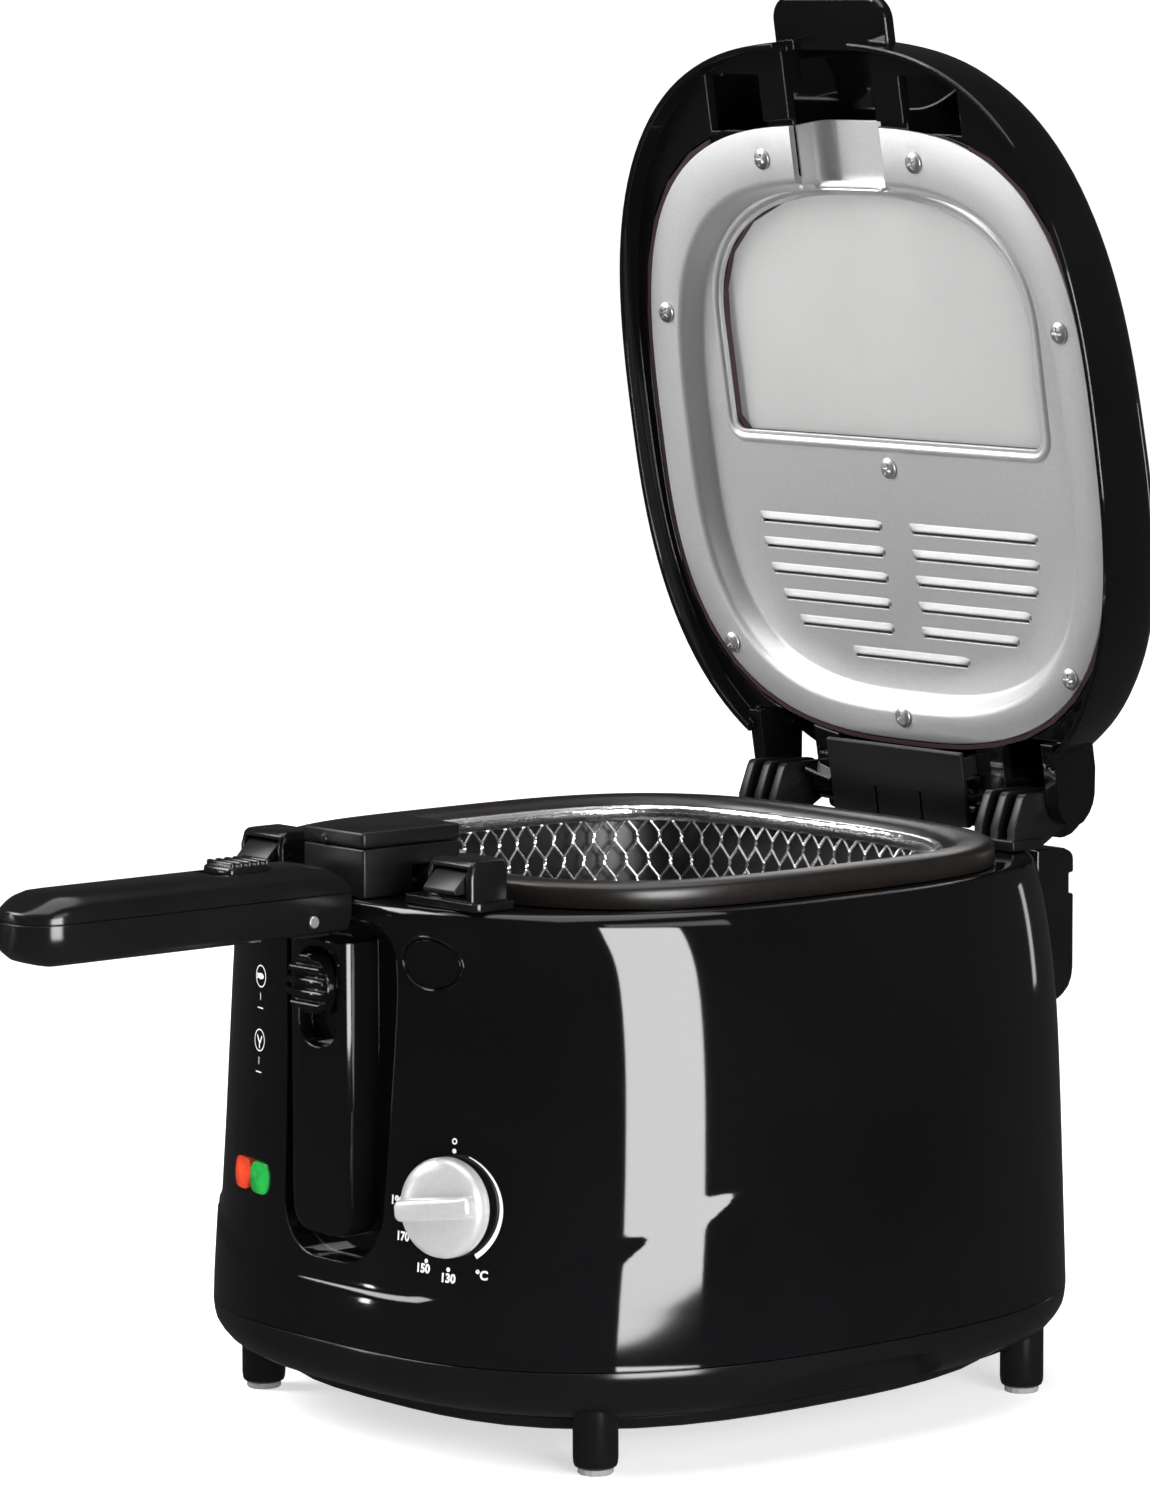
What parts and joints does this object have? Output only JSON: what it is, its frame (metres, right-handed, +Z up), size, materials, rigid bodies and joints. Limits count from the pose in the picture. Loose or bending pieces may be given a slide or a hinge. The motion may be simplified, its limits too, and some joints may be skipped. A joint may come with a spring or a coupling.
{
  "type": "deep fryer",
  "caption": "Oval household deep fryer with a hinged window lid, a wire basket lowered by its folding handle, a thermostat knob, pilot lamps and a lid release.",
  "frame": {"origin": "centre of the bounding box on the floor, lid open and handle out", "axes": "+X to the right seen from the front, +Y to the rear where the lid is hinged, +Z up"},
  "size_m": [0.266, 0.4484, 0.5084],
  "materials": {
    "gloss_black": "high gloss",
    "matte_black": "satin moulded",
    "handle_black": "smooth satin",
    "pot_coating": "dark non-stick coating",
    "aluminium": "satin pressed sheet",
    "steel": "plain steel",
    "wire": "bright plated wire",
    "silver_paint": "silver painted",
    "clear_glass": "clear",
    "red_lens": "translucent lens",
    "green_lens": "translucent lens",
    "seal_rubber": "soft seal",
    "grey_rubber": "rubber pad",
    "filter_felt": "filter pad"
  },
  "bodies": {
    "body": {"housing": "gloss_black", "base_tray": "matte_black", "bottom_plate": "matte_black", "foot_front_left": "grey_rubber", "foot_front_right": "grey_rubber", "foot_rear_left": "grey_rubber", "foot_rear_right": "grey_rubber", "pot": "pot_coating", "heating_element": "steel", "heat_shield": "steel", "thermostat": "steel", "thermal_cutout": "matte_black", "lamp_holder": "matte_black", "lens_red": "red_lens", "lens_green": "green_lens", "terminal_block": "matte_black", "cord_gland": "matte_black", "hinge_housing": "matte_black", "hinge_bracket_left": "matte_black", "hinge_bracket_right": "matte_black", "hinge_pin": "steel", "lid_spring": "steel", "latch_tower_left": "matte_black", "latch_tower_right": "matte_black", "bracket": "matte_black", "bracket_cap": "matte_black", "pivot_pin": "steel", "latch_spring": "steel", "catch_spring": "steel"},
    "slide_catch": {"catch_slider": "matte_black"},
    "lid_release": {"release_button": "gloss_black", "latch_bar": "matte_black", "latch_wedge_left": "matte_black", "latch_wedge_right": "matte_black"},
    "thermostat_knob": {"knob": "silver_paint", "knob_shaft": "steel"},
    "lid": {"lid_shell": "gloss_black", "lid_panel": "aluminium", "panel_seal": "seal_rubber", "window_glass": "clear_glass", "window_gasket": "seal_rubber", "grease_filter": "filter_felt", "filter_cover": "matte_black", "hinge_flap": "matte_black", "lid_screw_1": "steel", "lid_screw_2": "steel", "lid_screw_3": "steel", "lid_screw_4": "steel", "lid_screw_5": "steel", "lid_screw_6": "steel", "lid_screw_7": "steel", "lid_screw_8": "steel"},
    "frying_basket": {"basket": "wire", "basket_rim": "wire", "basket_hanger": "steel"},
    "folding_handle": {"handle_lower": "handle_black", "handle_upper": "handle_black", "thumb_spring": "steel"},
    "thumb_lock": {"thumb_slider": "matte_black"}
  },
  "joints": [
    {"name": "lid_hinge", "type": "hinge", "parent": "body", "child": "lid", "pos_m": [0, 0.19377, 0.2093], "axis": [1, 0, 0], "range_deg": [0, 80.7], "stiffness_Nm_per_rad": 0.9, "springref_deg": -68.75},
    {"name": "handle_fold", "type": "hinge", "parent": "body", "child": "folding_handle", "pos_m": [0, -0.10693, 0.19], "axis": [1, 0, 0], "range_deg": [0, 80]},
    {"name": "basket_lower", "type": "slide", "parent": "body", "child": "frying_basket", "axis": [0, 0, -1], "range_m": [0, 0.0402]},
    {"name": "thumb_slide", "type": "slide", "parent": "folding_handle", "child": "thumb_lock", "axis": [0, -1, 0], "range_m": [0, 0.006], "stiffness_N_per_m": 400, "springref_m": -0.001},
    {"name": "catch_slide", "type": "slide", "parent": "body", "child": "slide_catch", "axis": [0, 0, -1], "range_m": [0, 0.005], "stiffness_N_per_m": 400, "springref_m": -0.001},
    {"name": "button_push", "type": "slide", "parent": "body", "child": "lid_release", "axis": [0, 1, 0], "range_m": [0, 0.003], "stiffness_N_per_m": 600, "springref_m": -0.001},
    {"name": "knob_turn", "type": "hinge", "parent": "body", "child": "thermostat_knob", "pos_m": [0.0592, -0.08087, 0.093], "axis": [0.2684, -0.9606, 0.0724], "range_deg": [-16, 262]}
  ],
  "couplings": [
    {"joint": "basket_lower", "follows": "handle_fold", "m_per_rad": 0.028648}
  ]
}
